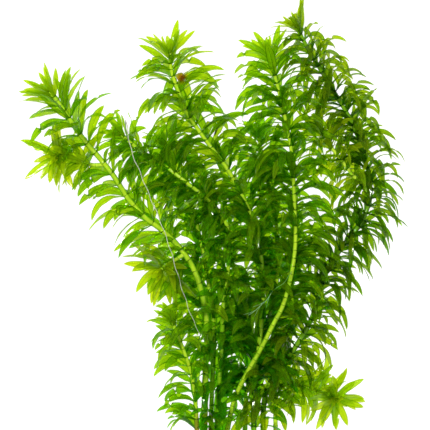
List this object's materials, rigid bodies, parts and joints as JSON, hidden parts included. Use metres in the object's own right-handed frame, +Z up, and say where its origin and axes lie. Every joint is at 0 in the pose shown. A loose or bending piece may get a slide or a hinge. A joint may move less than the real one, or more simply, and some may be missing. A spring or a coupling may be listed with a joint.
{
  "type": "brazilian waterweed bunch",
  "caption": "Loose bunch of leafy water plant stems with whorls of thin arching leaves, cut at the base and lying on a surface, for planting or dressing a tank or pond.",
  "frame": {"origin": "on the surface that the bunch lies on, under the middle of its outline seen from above", "axes": "+Y from the cut stem ends towards the growing tips, +Z up from the surface, +X to the right seen from above with the tips away from the viewer"},
  "size_m": [0.1935, 0.2202, 0.04],
  "materials": {
    "green_shoot": "wet, thin and translucent, yellow green at the tips and mid green where leaves overlap",
    "olive_shoot": "wet, thin and translucent, darker olive green",
    "young_shoot": "wet, thin and translucent, pale yellow green",
    "root": "pale off-white, slightly translucent thread"
  },
  "bodies": {
    "root": {"left_stem": "green_shoot", "upper_left_stem": "green_shoot", "crossing_stem": "green_shoot", "tall_stem": "green_shoot", "right_arching_stem": "olive_shoot", "centre_stem": "green_shoot", "inner_left_stem": "green_shoot", "lower_left_stem": "green_shoot", "lower_right_stem": "young_shoot", "right_side_shoot": "young_shoot", "left_side_shoot": "young_shoot", "middle_side_shoot": "young_shoot", "long_root": "root", "short_root": "root"}
  },
  "joints": []
}
